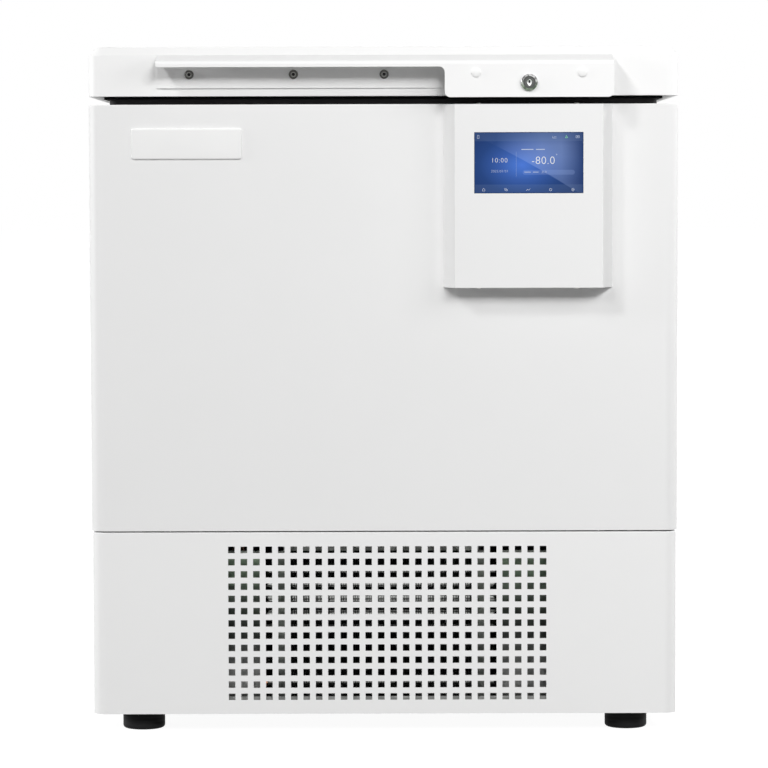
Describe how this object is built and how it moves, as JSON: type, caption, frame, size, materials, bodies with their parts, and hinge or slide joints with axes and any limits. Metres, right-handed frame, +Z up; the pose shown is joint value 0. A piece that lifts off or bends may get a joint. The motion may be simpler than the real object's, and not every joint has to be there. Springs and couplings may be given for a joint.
{
  "type": "ultra low temperature chest freezer",
  "caption": "White chest-type laboratory freezer with a rear-hinged insulated lid, keyed handle, touch screen box and a perforated front panel over its machine bay.",
  "frame": {"origin": "on the floor, under the middle of the whole freezer with its handle and hinges", "axes": "+Z up, +Y from the front with the handle and the screen to the back, +X to the right of a person facing the front"},
  "size_m": [0.842, 0.76, 0.985],
  "materials": {
    "white_paint": "white powder coat with a soft sheen",
    "stainless": "brushed stainless steel",
    "foam": "rigid foam",
    "white_plastic": "smooth white plastic",
    "black_plastic": "matte black plastic",
    "black_rubber": "matte black rubber",
    "exchanger_wrap": "black insulating wrap",
    "galvanised": "grey-green zinc-coated sheet",
    "copper": "bare copper",
    "fin_aluminium": "thin dark-coated fins",
    "pale_pipe": "pale drawn tube",
    "black_paint": "black paint",
    "chrome": "bright plated",
    "zinc_steel": "zinc-plated steel",
    "screen_glass": "lit blue screen under glass",
    "circuit_board": "green circuit board"
  },
  "bodies": {
    "cabinet": {"cabinet_shell": "white_paint", "control_cover": "white_paint", "front_grille_panel": "white_paint", "left_side_panel": "white_paint", "right_side_panel": "white_paint", "rear_vent_panel": "white_paint", "inner_liner": "stainless", "insulation": "foam", "breaker_frame": "black_plastic", "display_module": "black_plastic", "cord_gland": "black_plastic", "rubber_feet": "black_rubber", "compressor_mounts": "black_rubber", "heat_exchanger": "exchanger_wrap", "body_floor_plate": "galvanised", "base_pan": "galvanised", "corner_posts": "galvanised", "control_bracket": "galvanised", "condenser_frame": "galvanised", "air_baffles": "galvanised", "fan_shroud": "galvanised", "fan_motor_bracket": "galvanised", "electrical_box": "galvanised", "electrical_box_cover": "galvanised", "evaporator_coil": "copper", "filter_drier": "copper", "discharge_line": "copper", "liquid_line": "copper", "suction_lines": "copper", "condenser_fins": "fin_aluminium", "condenser_pipe": "pale_pipe", "compressor_high_stage": "black_paint", "compressor_low_stage": "black_paint", "fan_motor": "black_paint", "cabinet_hinge_leaves": "zinc_steel", "temperature_probe": "zinc_steel", "display_glass": "screen_glass", "control_board": "circuit_board"},
    "lid": {"lid_shell": "white_paint", "lid_foam": "foam", "lid_liner": "white_plastic", "lid_gasket": "black_rubber", "handle_bracket": "white_paint", "handle_caps": "white_plastic", "lock_standoffs": "galvanised", "lock_barrel": "chrome", "lock_nut": "zinc_steel", "lid_hinge_leaves": "zinc_steel"},
    "lock": {"lock_plug": "chrome", "lock_cam": "zinc_steel"},
    "fan": {"fan_rotor": "black_plastic"}
  },
  "joints": [
    {"name": "lid_hinge", "type": "hinge", "parent": "cabinet", "child": "lid", "pos_m": [0, 0.372, 0.909], "axis": [-1, 0, 0], "range_deg": [0, 80]},
    {"name": "lock_turn", "type": "hinge", "parent": "lid", "child": "lock", "pos_m": [0.2063, -0.376, 0.9323], "axis": [0, 1, 0], "range_deg": [0, 90]},
    {"name": "fan_spin", "type": "hinge", "parent": "cabinet", "child": "fan", "pos_m": [-0.005, -0.216, 0.15875], "axis": [0, 1, 0], "continuous": true}
  ]
}
